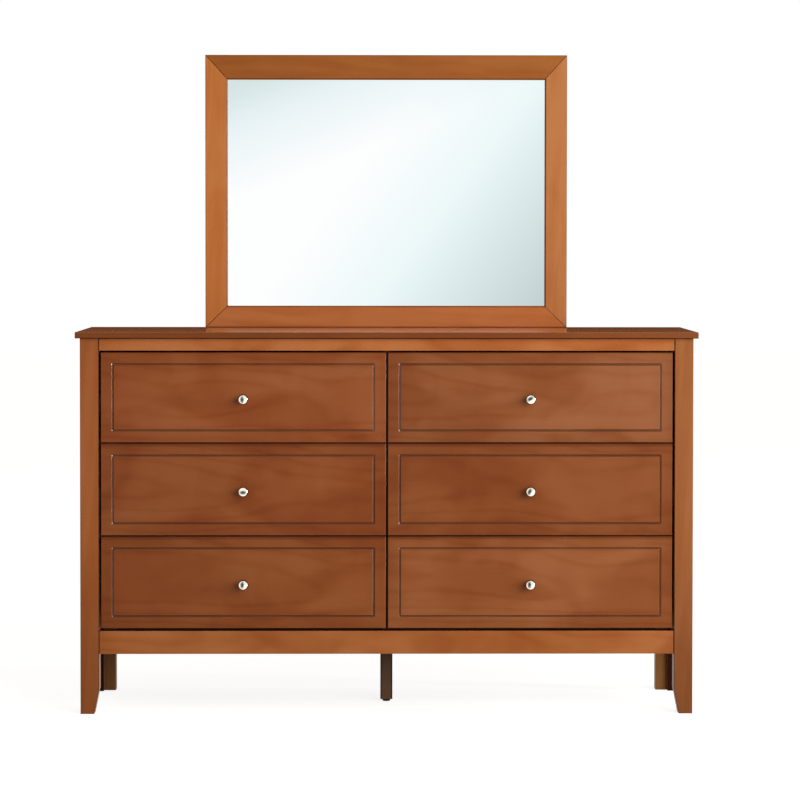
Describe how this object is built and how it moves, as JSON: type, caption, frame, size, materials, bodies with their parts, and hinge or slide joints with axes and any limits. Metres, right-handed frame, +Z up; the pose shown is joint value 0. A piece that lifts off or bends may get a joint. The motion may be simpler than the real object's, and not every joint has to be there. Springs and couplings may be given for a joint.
{
  "type": "dresser with mirror",
  "caption": "Wide wooden dresser with two columns of drawers on tapered front posts, round metal knobs and a mitred framed mirror standing on its top.",
  "frame": {"origin": "on the floor under the middle of the whole object", "axes": "+Z up, drawers open along -Y, +X to the right as seen from the front"},
  "size_m": [1.5, 0.4366, 1.6125],
  "materials": {
    "stained_wood": "warm red-brown stain under satin lacquer",
    "front_wood": "darker red-brown stain under satin lacquer",
    "frame_wood": "stained but not lacquered",
    "drawer_wood": "pale wood, sealed",
    "hardboard": "smooth brown hardboard",
    "steel": "zinc plated",
    "enamelled_steel": "folded strip under black stoved enamel",
    "nickel": "polished nickel plate",
    "black_plastic": "moulded, matt",
    "silvered_glass": "float glass, silvered on the back"
  },
  "bodies": {
    "case": {"back_panel": "hardboard", "back_rails": "frame_wood", "bottom_front_rail": "stained_wood", "cabinet_runners": "enamelled_steel", "centre_leg": "frame_wood", "centre_partition": "frame_wood", "divider_rails": "frame_wood", "left_back_leg": "stained_wood", "left_front_post": "stained_wood", "left_side_panel": "stained_wood", "mirror_backing": "hardboard", "mirror_bottom_rail": "stained_wood", "mirror_glass": "silvered_glass", "mirror_left_stile": "stained_wood", "mirror_right_stile": "stained_wood", "mirror_supports": "frame_wood", "mirror_top_rail": "stained_wood", "right_back_leg": "stained_wood", "right_front_post": "stained_wood", "right_side_panel": "stained_wood", "support_screws": "steel", "top_front_rail": "stained_wood", "top_panel": "stained_wood"},
    "glide": {"levelling_glide": "black_plastic"},
    "top_left_drawer": {"top_left_drawer_back": "drawer_wood", "top_left_drawer_bottom": "hardboard", "top_left_drawer_front": "front_wood", "top_left_drawer_knob": "nickel", "top_left_drawer_runners": "enamelled_steel", "top_left_drawer_sides": "drawer_wood"},
    "top_right_drawer": {"top_right_drawer_back": "drawer_wood", "top_right_drawer_bottom": "hardboard", "top_right_drawer_front": "front_wood", "top_right_drawer_knob": "nickel", "top_right_drawer_runners": "enamelled_steel", "top_right_drawer_sides": "drawer_wood"},
    "middle_left_drawer": {"middle_left_drawer_back": "drawer_wood", "middle_left_drawer_bottom": "hardboard", "middle_left_drawer_front": "front_wood", "middle_left_drawer_knob": "nickel", "middle_left_drawer_runners": "enamelled_steel", "middle_left_drawer_sides": "drawer_wood"},
    "middle_right_drawer": {"middle_right_drawer_back": "drawer_wood", "middle_right_drawer_bottom": "hardboard", "middle_right_drawer_front": "front_wood", "middle_right_drawer_knob": "nickel", "middle_right_drawer_runners": "enamelled_steel", "middle_right_drawer_sides": "drawer_wood"},
    "bottom_left_drawer": {"bottom_left_drawer_back": "drawer_wood", "bottom_left_drawer_bottom": "hardboard", "bottom_left_drawer_front": "front_wood", "bottom_left_drawer_knob": "nickel", "bottom_left_drawer_runners": "enamelled_steel", "bottom_left_drawer_sides": "drawer_wood"},
    "bottom_right_drawer": {"bottom_right_drawer_back": "drawer_wood", "bottom_right_drawer_bottom": "hardboard", "bottom_right_drawer_front": "front_wood", "bottom_right_drawer_knob": "nickel", "bottom_right_drawer_runners": "enamelled_steel", "bottom_right_drawer_sides": "drawer_wood"}
  },
  "joints": [
    {"name": "top_left_drawer_slide", "type": "slide", "parent": "case", "child": "top_left_drawer", "axis": [0, -1, 0], "range_m": [0, 0.27]},
    {"name": "top_right_drawer_slide", "type": "slide", "parent": "case", "child": "top_right_drawer", "axis": [0, -1, 0], "range_m": [0, 0.27]},
    {"name": "middle_left_drawer_slide", "type": "slide", "parent": "case", "child": "middle_left_drawer", "axis": [0, -1, 0], "range_m": [0, 0.27]},
    {"name": "middle_right_drawer_slide", "type": "slide", "parent": "case", "child": "middle_right_drawer", "axis": [0, -1, 0], "range_m": [0, 0.27]},
    {"name": "bottom_left_drawer_slide", "type": "slide", "parent": "case", "child": "bottom_left_drawer", "axis": [0, -1, 0], "range_m": [0, 0.27]},
    {"name": "bottom_right_drawer_slide", "type": "slide", "parent": "case", "child": "bottom_right_drawer", "axis": [0, -1, 0], "range_m": [0, 0.27]},
    {"name": "glide_screw", "type": "slide", "parent": "case", "child": "glide", "axis": [0, 0, -1], "range_m": [0, 0.01]}
  ]
}
